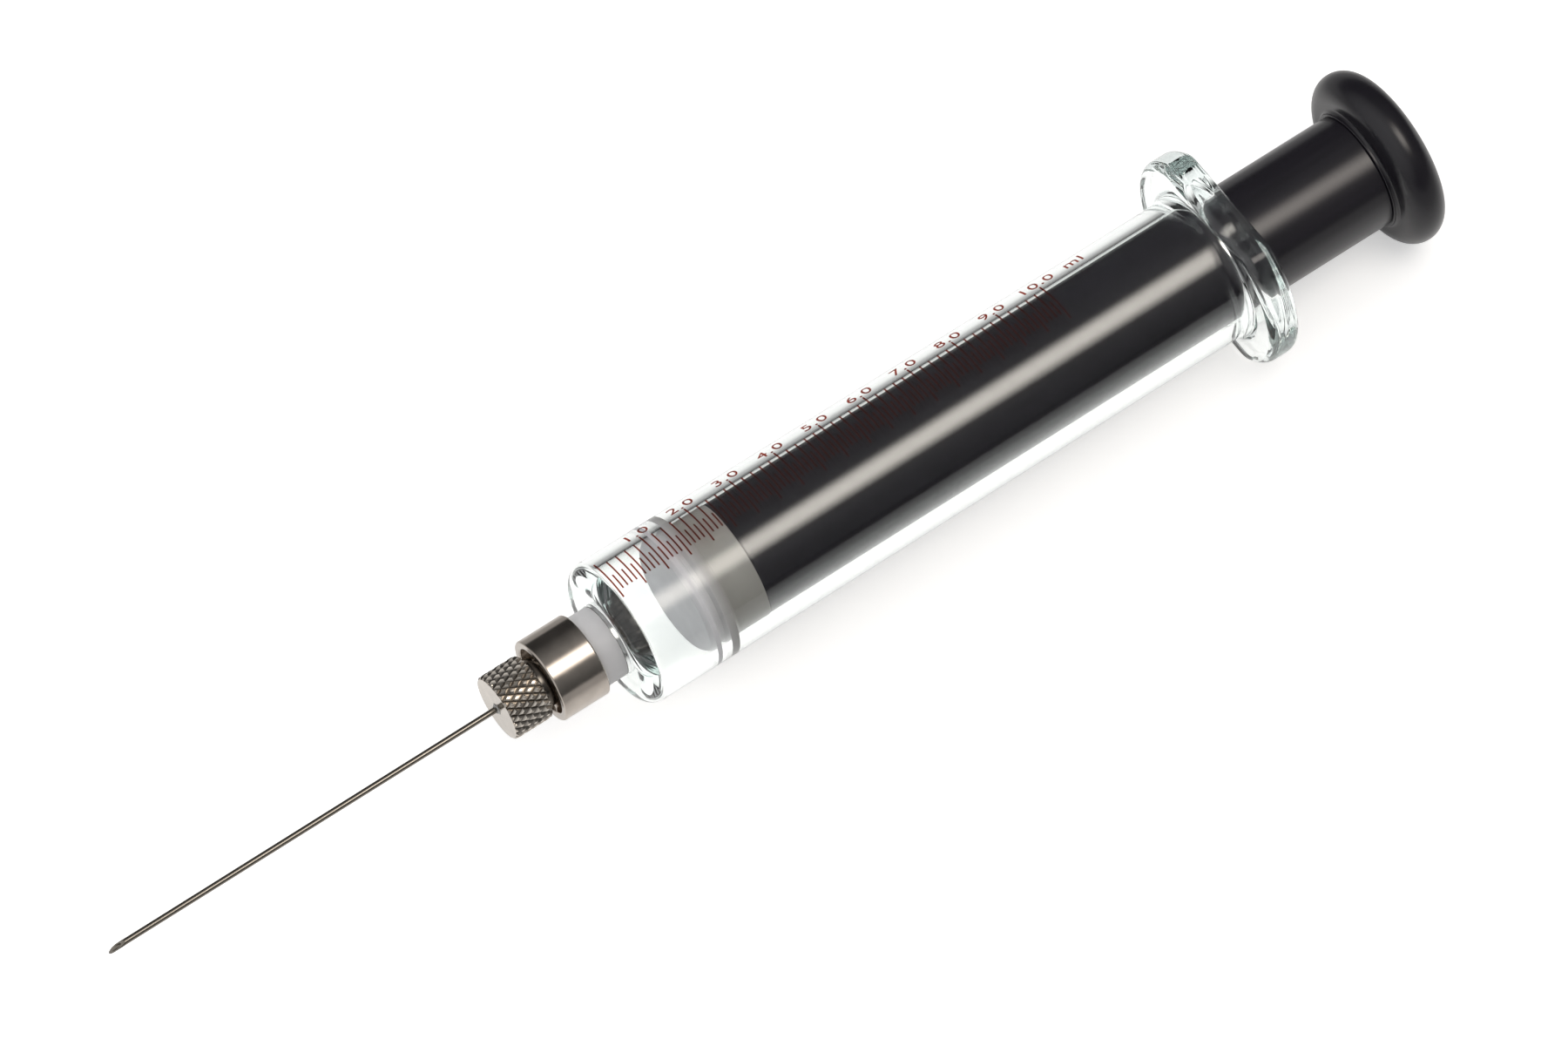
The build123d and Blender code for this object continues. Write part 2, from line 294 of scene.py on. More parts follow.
def borosilicate_glass(look):
    """Drawn borosilicate tube with a pressed flange, fire polished.

    The eye sees it clear, with long soft ripples along the draw, a wavier flange, and a green tint
    where the light runs a long way through it. Lamps shine through it on the parts inside.
    """
    material, tree, place = new_material("borosilicate_glass_fire_polished")
    drawn = add(tree, "ShaderNodeMapping", {"Vector": place, "Scale": drawn_out(30.0)})
    draw_lines = add(tree, "ShaderNodeTexNoise", {"Vector": drawn, "Scale": per(3.0), "Detail": 2.0})
    pressed_waves = add(tree, "ShaderNodeTexNoise", {"Vector": place, "Scale": per(2.2), "Detail": 1.0})
    axis = add(tree, "ShaderNodeSeparateXYZ", {"Vector": place})
    span = {"Value": axis, "From Min": -FLANGE_ROOT_ROUND * MM, "From Max": 0.0}
    in_flange = add(tree, "ShaderNodeMapRange", span)
    height = add(tree, "ShaderNodeMix", {"Factor": in_flange, "A": draw_lines, "B": pressed_waves})
    span = {"Value": in_flange, "To Min": look.glass_ripple, "To Max": look.flange_ripple}
    depth = add(tree, "ShaderNodeMapRange", span)
    surface = add(tree, "ShaderNodeMath", {0: height, 1: depth}, operation="MULTIPLY")
    bump = add(tree, "ShaderNodeBump", {"Height": surface, "Strength": 1.0, "Distance": 1.0})
    body = {"Base Color": tuple(look.glass), "Roughness": 0.0, "IOR": 1.474, "Normal": bump}
    glass = add(tree, "ShaderNodeBsdfPrincipled", {**body, "Transmission Weight": 1.0})
    edge = add(tree, "ShaderNodeLayerWeight", {"Blend": 0.35}, out="Facing")
    passed = add(tree, "ShaderNodeValToRGB", {"Fac": edge}, stops=((0.3, 0.96), (0.95, 0.4)))
    clear = add(tree, "ShaderNodeBsdfTransparent", {"Color": passed})
    in_shadow = add(tree, "ShaderNodeLightPath", out="Is Shadow Ray")
    surface = add(tree, "ShaderNodeMixShader", {"Fac": in_shadow, 1: glass, 2: clear})
    volume = add(tree, "ShaderNodeVolumeAbsorption", {"Color": tuple(look.glass_depth), "Density": 6.0})
    add(tree, "ShaderNodeOutputMaterial", {"Surface": surface, "Volume": volume})
    return material


def fired_enamel(look):
    """Red-brown enamel, screened on the tube and fired: thin, a little uneven, and duller than the glass.

    Light comes through it, so it looks red where white lies behind it and nearly black on the rod.
    """
    material, tree, place = new_material("scale_enamel_screened_and_fired")
    patches = add(tree, "ShaderNodeTexNoise", {"Vector": place, "Scale": per(0.35), "Detail": 3.0})
    stops = ((0.35, shade(look.enamel, 0.8)), (0.65, shade(look.enamel, 1.35)))
    tint = add(tree, "ShaderNodeValToRGB", {"Fac": patches}, stops=stops)
    bump = add(tree, "ShaderNodeBump", {"Height": patches, "Strength": 0.5, "Distance": 0.01 * MM})
    paint = add(tree, "ShaderNodeBsdfPrincipled", {"Base Color": tint, "Roughness": 0.45, "Normal": bump})
    film = add(tree, "ShaderNodeBsdfTransparent", {"Color": tuple(look.enamel_film)})
    surface = add(tree, "ShaderNodeMixShader", {"Fac": 0.35, 1: film, 2: paint})
    add(tree, "ShaderNodeOutputMaterial", {"Surface": surface})
    return material


def turned_ptfe(name, base, painted_shade_colour, start, end):
    """PTFE turned on a lathe: milky, waxy, light runs a few millimetres into it, with fine tool rings.

    Between two places along the axis, in mm, its colour turns to a second, darker one: painted shade where
    a dark part lies inside it and soaks up the light that runs through the PTFE.
    """
    material, tree, place = new_material(name)
    axis = add(tree, "ShaderNodeSeparateXYZ", {"Vector": place})
    # A wave texture repeats twenty times in one unit of its scale.
    bands = {"Vector": place, "Scale": per(0.25) / 20, "Distortion": 0.3, "Detail": 1.0}
    rings = add(tree, "ShaderNodeTexWave", bands, out="Fac", bands_direction="X")
    clouds = add(tree, "ShaderNodeTexNoise", {"Vector": place, "Scale": per(2.5), "Detail": 3.0})
    span = {"Value": axis, "From Min": start * MM, "From Max": end * MM}
    behind = add(tree, "ShaderNodeMapRange", span)
    milk = add(tree, "ShaderNodeValToRGB", {"Fac": behind}, stops=((0.0, base), (1.0, painted_shade_colour)))
    cloud = add(tree, "ShaderNodeValToRGB", {"Fac": clouds}, stops=((0.3, 0.93), (0.7, 1.0)))
    both = {"Factor": 1.0, 6: milk, 7: cloud}
    tint = add(tree, "ShaderNodeMix", both, out=2, data_type="RGBA", blend_type="MULTIPLY")
    bump = add(tree, "ShaderNodeBump", {"Height": rings, "Strength": 0.4, "Distance": 0.01 * MM})
    wax = {"Base Color": tint, "Roughness": 0.38, "IOR": 1.35, "Normal": bump}
    wax |= {"Subsurface Weight": 0.6, "Subsurface Radius": (1.0, 1.0, 1.0), "Subsurface Scale": 2.0 * MM}
    plastic = add(tree, "ShaderNodeBsdfPrincipled", wax)
    add(tree, "ShaderNodeOutputMaterial", {"Surface": plastic})
    return material


def cured_cement(look):
    """Dark cement cured between fitting and glass: streaked along the axis, with paler smears."""
    material, tree, place = new_material("cement_cured_dark")
    drawn = add(tree, "ShaderNodeMapping", {"Vector": place, "Scale": drawn_out(4.0)})
    streaks = add(tree, "ShaderNodeTexNoise", {"Vector": drawn, "Scale": per(0.5), "Detail": 4.0})
    dark, plain, pale = shade(look.cement, 0.5), tuple(look.cement), shade(look.cement, 6.0)
    stops = ((0.35, dark), (0.6, plain), (0.75, pale))
    tint = add(tree, "ShaderNodeValToRGB", {"Fac": streaks}, stops=stops)
    bump = add(tree, "ShaderNodeBump", {"Height": streaks, "Strength": 0.6, "Distance": 0.08 * MM})
    paste = add(tree, "ShaderNodeBsdfPrincipled", {"Base Color": tint, "Roughness": 0.5, "Normal": bump})
    add(tree, "ShaderNodeOutputMaterial", {"Surface": paste})
    return material


def nickel_plate(name, base, grooves=None):
    """Bright nickel on turned brass: warm grey mirror, softened across the fine rings that the lathe left.

    Grooves (start, end, bottom and top, in mm) get painted shade, which sets off the knurl: between start
    and end the colour darkens towards a quarter as the surface goes down from top to bottom, and fully
    below bottom.
    """
    material, tree, place = new_material(name)
    axis = add(tree, "ShaderNodeSeparateXYZ", {"Vector": place})
    turning = {"W": axis, "Scale": per(0.12), "Detail": 1.0}
    rings = add(tree, "ShaderNodeTexNoise", turning, noise_dimensions="1D")
    smears = add(tree, "ShaderNodeTexNoise", {"Vector": place, "Scale": per(1.8), "Detail": 4.0})
    stops = ((0.3, shade(base, 0.9)), (0.7, shade(base, 1.05)))
    tint = add(tree, "ShaderNodeValToRGB", {"Fac": smears}, stops=stops)
    rough = add(tree, "ShaderNodeMapRange", {"Value": smears, "To Min": 0.145, "To Max": 0.225})
    if grooves:
        start, end, bottom, top = (g * MM for g in grooves)
        grip = {0: axis, 1: (start + end) / 2, 2: (end - start) / 2}
        in_grip = add(tree, "ShaderNodeMath", grip, operation="COMPARE")
        across = add(tree, "ShaderNodeVectorMath", {0: place, 1: (0.0, 1.0, 1.0)}, operation="MULTIPLY")
        radius = add(tree, "ShaderNodeVectorMath", {0: across}, out="Value", operation="LENGTH")
        span = {"Value": radius, "From Min": bottom, "From Max": top, "To Min": 1.0, "To Max": 0.0}
        depth = add(tree, "ShaderNodeMapRange", span)
        # Painted shade, deepest at the bottom of the grooves and on the hub beside the grip.
        groove_painted_shade = add(tree, "ShaderNodeMath", {0: depth, 1: in_grip}, operation="MULTIPLY")
        both = {"Factor": groove_painted_shade, 6: tint, 7: shade(base, 0.25)}
        tint = add(tree, "ShaderNodeMix", both, out=2, data_type="RGBA")
    bump = add(tree, "ShaderNodeBump", {"Height": rings, "Strength": 0.5, "Distance": 0.004 * MM})
    plate = {"Base Color": tint, "Metallic": 1.0, "Roughness": rough, "Normal": bump}
    metal = add(tree, "ShaderNodeBsdfPrincipled", plate)
    add(tree, "ShaderNodeOutputMaterial", {"Surface": metal})
    return material


def solder(look):
    """Silver solder, melted and cooled: pale, soft-edged metal with a faint ripple."""
    material, tree, place = new_material("silver_solder_flowed")
    ripples = add(tree, "ShaderNodeTexNoise", {"Vector": place, "Scale": per(0.3), "Detail": 2.0})
    stops = ((0.3, shade(look.solder, 0.75)), (0.7, tuple(look.solder)))
    tint = add(tree, "ShaderNodeValToRGB", {"Fac": ripples}, stops=stops)
    bump = add(tree, "ShaderNodeBump", {"Height": ripples, "Strength": 0.5, "Distance": 0.03 * MM})
    bead = {"Base Color": tint, "Metallic": 1.0, "Roughness": 0.3, "Normal": bump}
    metal = add(tree, "ShaderNodeBsdfPrincipled", bead)
    add(tree, "ShaderNodeOutputMaterial", {"Surface": metal})
    return material


def drawn_stainless(look):
    """Stainless tube drawn to size: long scratches along it, which blur what it mirrors across them."""
    material, tree, place = new_material("stainless_steel_drawn")
    drawn = add(tree, "ShaderNodeMapping", {"Vector": place, "Scale": drawn_out(60.0)})
    scratches = add(tree, "ShaderNodeTexNoise", {"Vector": drawn, "Scale": per(0.12), "Detail": 2.0})
    stops = ((0.3, shade(look.steel, 0.8)), (0.7, tuple(look.steel)))
    tint = add(tree, "ShaderNodeValToRGB", {"Fac": scratches}, stops=stops)
    bump = add(tree, "ShaderNodeBump", {"Height": scratches, "Strength": 0.05, "Distance": 0.01 * MM})
    tube = {"Base Color": tint, "Metallic": 1.0, "Roughness": 0.24, "Normal": bump}
    metal = add(tree, "ShaderNodeBsdfPrincipled", tube)
    add(tree, "ShaderNodeOutputMaterial", {"Surface": metal})
    return material


def black_anodised(look):
    """Aluminium rod, ground and anodised black: satin, grinding lines round it and faint wear along."""
    material, tree, place = new_material("aluminium_black_anodised")
    squeezed = add(tree, "ShaderNodeMapping", {"Vector": place, "Scale": drawn_out(0.1)})
    grinding = add(tree, "ShaderNodeTexNoise", {"Vector": squeezed, "Scale": per(2.0), "Detail": 3.0})
    drawn = add(tree, "ShaderNodeMapping", {"Vector": place, "Scale": drawn_out(12.0)})
    wear = add(tree, "ShaderNodeTexNoise", {"Vector": drawn, "Scale": per(1.4), "Detail": 4.0})
    least, most = look.rod_roughness * 0.85, look.rod_roughness * 1.2
    rough = add(tree, "ShaderNodeMapRange", {"Value": wear, "To Min": least, "To Max": most})
    stops = ((0.35, shade(look.anodised, 0.85)), (0.7, shade(look.anodised, 1.2)))
    tint = add(tree, "ShaderNodeValToRGB", {"Fac": wear}, stops=stops)
    bump = add(tree, "ShaderNodeBump", {"Height": grinding, "Strength": 0.25, "Distance": 0.01 * MM})
    satin = {"Base Color": tint, "Roughness": rough, "IOR": 1.6, "Normal": bump}
    metal = add(tree, "ShaderNodeBsdfPrincipled", satin)
    add(tree, "ShaderNodeOutputMaterial", {"Surface": metal})
    return material


def black_plastic(look):
    """Thumb button moulded in black plastic: half gloss, with the fine grain of the mould."""
    material, tree, place = new_material("black_plastic_moulded")
    grain = add(tree, "ShaderNodeTexNoise", {"Vector": place, "Scale": per(0.15), "Detail": 2.0})
    handling = add(tree, "ShaderNodeTexNoise", {"Vector": place, "Scale": per(4.0), "Detail": 3.0})
    least, most = look.button_roughness * 0.85, look.button_roughness * 1.2
    rough = add(tree, "ShaderNodeMapRange", {"Value": handling, "To Min": least, "To Max": most})
    bump = add(tree, "ShaderNodeBump", {"Height": grain, "Strength": 0.2, "Distance": 0.01 * MM})
    stops = ((0.3, shade(look.plastic, 0.9)), (0.7, shade(look.plastic, 1.15)))
    tint = add(tree, "ShaderNodeValToRGB", {"Fac": handling}, stops=stops)
    button = {"Base Color": tint, "Roughness": rough, "Normal": bump}
    plastic = add(tree, "ShaderNodeBsdfPrincipled", button)
    add(tree, "ShaderNodeOutputMaterial", {"Surface": plastic})
    return material


# ---- Settings ----
class SyringeLook(bpy.types.PropertyGroup):
    """Colours and finishes of the syringe's materials."""

    glass: colour("Glass", "Colour of the glass at its surface", "FDFFFE")
    glass_depth: colour("Glass Depth", "Colour that long ways through the glass take on", "B4E8E0")
    glass_ripple: length("Draw Ripple", "Depth of the ripples along the drawn tube", 0.0015)
    flange_ripple: length("Flange Ripple", "Depth of the waves in the pressed flange", 0.02)
    enamel: colour("Enamel", "Colour of the printed scale on the dark rod", "3F1E18")
    enamel_film: colour("Enamel Film", "Colour of light through each face of the print", "E0907F")
    sleeve: colour("Fitting", "Colour of the luer fitting", "CACACC")
    seal: colour("Seal", "Colour of the plunger's sealing tip", "C9C8CD")
    # Painted shade: the tip is painted darker where the black rod lies inside it.
    seal_painted_shade: colour("Shaded Seal", "Colour of the tip where the black rod is inside it", "8F8D8A")
    cement: colour("Cement", "Colour of the cement", "3A3735")
    nickel: colour("Nickel", "Colour of the nickel plate", "C4BBB2")
    hub_nickel: colour("Hub Nickel", "Colour of the nickel plate on the knurled hub", "D0C8BE")
    solder: colour("Solder", "Colour of the solder", "A9A8A6")
    steel: colour("Steel", "Colour of the needle", "989289")
    anodised: colour("Anodised", "Colour of the plunger rod", "19171D")
    rod_roughness: FloatProperty(
        name="Rod Roughness", description="How far it blurs what it mirrors", default=0.24, min=0, max=1
    )
    plastic: colour("Plastic", "Colour of the thumb button", "17151B")
    button_roughness: FloatProperty(
        name="Button Roughness", description="How far it blurs what it mirrors", default=0.25, min=0, max=1
    )


class ScaleSettings(bpy.types.PropertyGroup):
    """The numbers printed beside the scale lines."""

    last_number: IntProperty(name="Last Number", description="Volume at the last line", default=10, min=1)
    unit_text: StringProperty(name="Unit", description="Unit printed after the last number", default="ml")
    height: length("Number Height", "Height of the numbers", 1.75)
    start_arc: length("Number Start", "Arc from the top of the tube to the foot of the numbers", 5.55)
    ink: length("Ink", "How far the print stands proud", 0.03)


class KnurlSettings(bpy.types.PropertyGroup):
    """The diamond knurl on the needle's grip."""

    diamonds: IntProperty(name="Diamonds Round", description="Diamonds round the grip", default=26, min=8)
    angle: FloatProperty(
        name="Knurl Angle",
        description="Angle of the grooves to the axis",
        subtype="ANGLE",
        default=radians(30),
        min=radians(15),
        max=radians(60),
    )
    depth: length("Knurl Depth", "Depth of the grooves", 0.26)
    chamfer: length("Grip Chamfer", "Chamfer at both ends of the grip", 0.2)


class StudioSettings(bpy.types.PropertyGroup):
    """The camera, the softbox and the table."""

    lens: FloatProperty(name="Lens", description="Focal length in mm on a 36 mm sensor", default=239.4)
    softbox_width: length("Softbox Width", "Size of the softbox across the syringe", 600.0)
    softbox_length: length("Softbox Length", "Size of the softbox along the syringe", 500.0)
    softbox_distance: length("Softbox Distance", "From the syringe to the softbox", 800.0)
    softbox_glow: FloatProperty(
        name="Softbox Glow", description="Radiance at the middle of the softbox", default=4.8, min=0
    )
    fill: FloatProperty(
        name="Fill", description="Level of the air where it is brightest, behind", default=1.05, min=0
    )
    softbox_colour: colour("Softbox Colour", "Colour of the softbox's light", "FFF7EE")
    table: colour("Table", "Colour of the table", "F2F2F2")


SETTINGS = {
    "syringe_look": SyringeLook,
    "syringe_scale": ScaleSettings,
    "syringe_knurl": KnurlSettings,
    "syringe_studio": StudioSettings,
}


# ---- Pieces ----
def flange_outline(angle, inset):
    """Reach of the flange's outline at an angle, moved in by an inset: a disc with two flats, in mm."""
    disc, flat = FLANGE_RADIUS - inset, FLAT_HEIGHT - inset
    corner = FLANGE_CORNER_ROUND - inset
    centre_z = FLAT_HEIGHT - FLANGE_CORNER_ROUND
    centre_y = sqrt((FLANGE_RADIUS - FLANGE_CORNER_ROUND) ** 2 - centre_z**2)
    y, z = abs(cos(angle)), abs(sin(angle))
    turn = atan2(z, y)
    if turn <= atan2(centre_z, centre_y):
        return disc
    if turn >= atan2(flat, centre_y):
        return flat / z
    along = centre_y * y + centre_z * z
    return along + sqrt(along**2 - centre_y**2 - centre_z**2 + corner**2)


def flange_reach(r):
    """How far a ring of the turned outline reaches at each angle, once the flats are pressed in it."""
    if r <= BARREL_RADIUS:
        return r
    inset = FLANGE_RADIUS - r
    if inset <= FLANGE_EDGE_ROUND:
        return lambda angle: flange_outline(angle, inset)
    share = (r - BARREL_RADIUS) / (FLANGE_RADIUS - FLANGE_EDGE_ROUND - BARREL_RADIUS)
    return lambda angle: BARREL_RADIUS + share * (
        flange_outline(angle, FLANGE_EDGE_ROUND) - BARREL_RADIUS
    )


class SYRINGE_OT_barrel(bpy.types.Operator):
    """Build the glass tube with its closed front and pressed finger flange"""

    bl_idname = "syringe.barrel"
    bl_label = "Glass Barrel"

    def execute(self, context):
        outline = rounded(
            (GLASS_FRONT, END_HOLE_RADIUS, 0.15),
            (GLASS_FRONT, BARREL_RADIUS, SHOULDER_ROUND),
            (0.0, BARREL_RADIUS, FLANGE_ROOT_ROUND),
            (0.0, FLANGE_RADIUS, FLANGE_EDGE_ROUND),
            (FLANGE_BACK, FLANGE_RADIUS, FLANGE_EDGE_ROUND),
            (FLANGE_BACK, BORE_RADIUS, 0.5),
            (BORE_END, BORE_RADIUS, 0.3),
            (BORE_END, END_HOLE_RADIUS, 0.15),
        )
        mesh = bmesh.new()
        skin(mesh, [ring(x, flange_reach(r), 512) for x, r in outline], closed=True)
        glass = borosilicate_glass(context.scene.syringe_look)
        finish_piece("glass_barrel", mesh, "barrel", "syringe_body", glass)
        return {"FINISHED"}


def printed_word(text, centre, start_arc, height, ink):
    """A word as thin enamel glyphs bent round the tube, read along the axis. Sizes in mm."""
    curve = bpy.data.curves.new("word", "FONT")
    curve.body = text
    curve.align_x = "CENTER"
    curve.size = height / CAPITAL_SHARE
    curve.space_character = 1.1
    curve.extrude = ink / 2
    holder = bpy.data.objects.new("word", curve)
    word = bmesh.new()
    word.from_mesh(bpy.data.meshes.new_from_object(holder))
    bpy.data.objects.remove(holder)
    strips = 6
    for k in range(1, strips):
        bmesh.ops.bisect_plane(
            word,
            geom=word.verts[:] + word.edges[:] + word.faces[:],
            plane_co=(0, height * k / strips, 0),
            plane_no=(0, 1, 0),
        )
    for vert in word.verts:
        u, v, lift = vert.co
        turn = (start_arc + v) / BARREL_RADIUS
        reach = BARREL_RADIUS + ink / 2 + lift
        vert.co = Vector((centre + u, reach * sin(turn), reach * cos(turn))) * MM
    return word


class SYRINGE_OT_scale(bpy.types.Operator):
    """Give the scale lines their enamel and print the numbers"""

    bl_idname = "syringe.scale"
    bl_label = "Printed Scale"

    def execute(self, context):
        settings = context.scene.syringe_scale
        enamel = fired_enamel(context.scene.syringe_look)
        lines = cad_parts["scale_lines"]
        lines.data.materials.clear()
        lines.data.materials.append(enamel)
        first, last = FIRST_LINE + HALF_LINE, LAST_LINE - HALF_LINE
        step = (last - first) / settings.last_number
        words = [(f"{n}.0", first + n * step) for n in range(1, settings.last_number + 1)]
        words.append((settings.unit_text, last + 0.85 * step))
        numbers = bmesh.new()
        for text, centre in words:
            word = printed_word(
                text, centre, settings.start_arc / MM, settings.height / MM, settings.ink / MM
            )
            data = bpy.data.meshes.new("word")
            word.to_mesh(data)
            numbers.from_mesh(data)
            word.free()
        piece = finish_piece("scale_numbers", numbers, None, "syringe_body", enamel)
        return {"FINISHED"}


class SYRINGE_OT_fitting(bpy.types.Operator):
    """Build the luer fitting and the cement round its spigot"""

    bl_idname = "syringe.fitting"
    bl_label = "Luer Fitting"

    def execute(self, context):
        look = context.scene.syringe_look
        snap_rim = COLLAR_WALL_END - SEAT_GAP
        taper_base = snap_rim - SNAP_RIM_LENGTH
        outline = rounded(
            (BORE_END, PASSAGE_RADIUS),
            (BORE_END, SPIGOT_RADIUS, 0.1),
            (GLASS_FRONT, SPIGOT_RADIUS),
            (GLASS_FRONT, SLEEVE_RADIUS, 0.08),
            (COLLAR_BACK, SLEEVE_RADIUS, 0.12),
            (COLLAR_BACK, NECK_RADIUS),
            (snap_rim, NECK_RADIUS),
            (snap_rim, NECK_RADIUS + SNAP_RIM_HEIGHT, 0.04),
            (taper_base, NECK_RADIUS, 0.04),
            (taper_base, luer_radius(taper_base)),
            (LUER_TIP, LUER_TIP_RADIUS, 0.15),
            (LUER_TIP, PASSAGE_RADIUS, 0.08),
        )
        sleeve = tuple(look.sleeve)
        # The spigot is painted darker inside the cement: painted shade.
        ptfe = turned_ptfe("ptfe_turned_fitting", sleeve, shade(sleeve, 0.85), GLASS_FRONT, BORE_END)
        turned("luer_fitting", outline, "luer_insert", "syringe_body", ptfe)

        def ragged(x, reach, seed):
            """One end of the cement, which ends unevenly inside the hole."""
            return lambda angle: x + reach * abs(
                noise.noise(Vector((cos(angle) * 3, sin(angle) * 3, seed)))
                + 0.5 * noise.noise(Vector((cos(angle) * 11, sin(angle) * 11, seed)))
            )

        front = ragged(GLASS_FRONT, 0.35, 3.7)
        back = ragged(BORE_END - 0.45, -0.35, 8.1)
        mesh = bmesh.new()
        corners = (
            (front, SPIGOT_RADIUS),
            (front, CEMENT_RADIUS),
            (back, CEMENT_RADIUS),
            (back, SPIGOT_RADIUS),
        )
        skin(mesh, [ring(x, r, FINE_SEGMENTS) for x, r in corners], closed=True)
        finish_piece("cement_ring", mesh, "bonding_ring", "syringe_body", cured_cement(look))
        return {"FINISHED"}


class SYRINGE_OT_collar(bpy.types.Operator):
    """Build the lock collar with its two-start thread"""

    bl_idname = "syringe.collar"
    bl_label = "Lock Collar"

    def execute(self, context):
        mesh = bmesh.new()
        outline = rounded(
            (COLLAR_BACK, NECK_RADIUS + SEAT_GAP, 0.1),
            (COLLAR_BACK, COLLAR_RADIUS, 0.22),
            (COLLAR_MOUTH, COLLAR_RADIUS, 0.22),
            (COLLAR_MOUTH, THREAD_ROOT_RADIUS, 0.25),
            (COLLAR_WALL_END, THREAD_ROOT_RADIUS),
            (COLLAR_WALL_END, NECK_RADIUS + SEAT_GAP),
        )
        skin(mesh, [ring(x, r, FINE_SEGMENTS) for x, r in outline], closed=True)
        section = (
            (JOIN_OVERLAP, -RIDGE_ROOT_WIDTH / 2),
            (JOIN_OVERLAP, RIDGE_ROOT_WIDTH / 2),
            (0.0, RIDGE_ROOT_WIDTH / 2),
            (-THREAD_HEIGHT, RIDGE_CREST_WIDTH / 2),
            (-THREAD_HEIGHT, -RIDGE_CREST_WIDTH / 2),
            (0.0, -RIDGE_ROOT_WIDTH / 2),
        )
        first = COLLAR_MOUTH + RIDGE_INSET
        span = COLLAR_WALL_END - RIDGE_INSET - first
        ear_place = HUB_MOUTH - EAR_THICKNESS / 2
        start_turn = 2 * pi * (first - ear_place) / THREAD_LEAD + pi / 2
        steps = 64
        for start in (start_turn, start_turn + pi):
            rows = []
            for k in range(steps + 1):
                along = span * k / steps
                # The right-handed helix starts at +Z and turns towards -Y as it runs towards +X.
                turn = start + 2 * pi * along / THREAD_LEAD + pi / 2
                row = []
                for rise, across in section:
                    reach = THREAD_ROOT_RADIUS + rise
                    row.append((first + along + across, reach * cos(turn), reach * sin(turn)))
                rows.append(row)
            skin(mesh, rows)
            for end in (rows[0], rows[-1]):
                mesh.faces.new([mesh.verts.new([c * MM for c in p]) for p in end])
        nickel = nickel_plate("nickel_plate_polished", context.scene.syringe_look.nickel)
        finish_piece("lock_collar_threaded", mesh, "lock_collar", "syringe_body", nickel)
        return {"FINISHED"}


def knurled(x, depth, diamonds, lead, chamfer):
    """Reach of the grip at each angle, at one place along it: two crossed sets of V grooves, in mm."""

    def groove(phase):
        """Depth of one set of grooves, from 0 on the third of the pitch that stays flat to 1."""
        return max(0.0, (abs(2 * (phase % 1.0) - 1) - 1 / 3) * 1.5)

    edge = max(0.0, chamfer - min(x - HUB_FRONT, GRIP_BACK - x))

    def reach(angle):
        turn = diamonds * angle / (2 * pi)
        along = (x - HUB_FRONT) / lead
        cut = depth * max(groove(turn + along), groove(turn - along))
        return GRIP_RADIUS - max(cut, edge)

    return reach


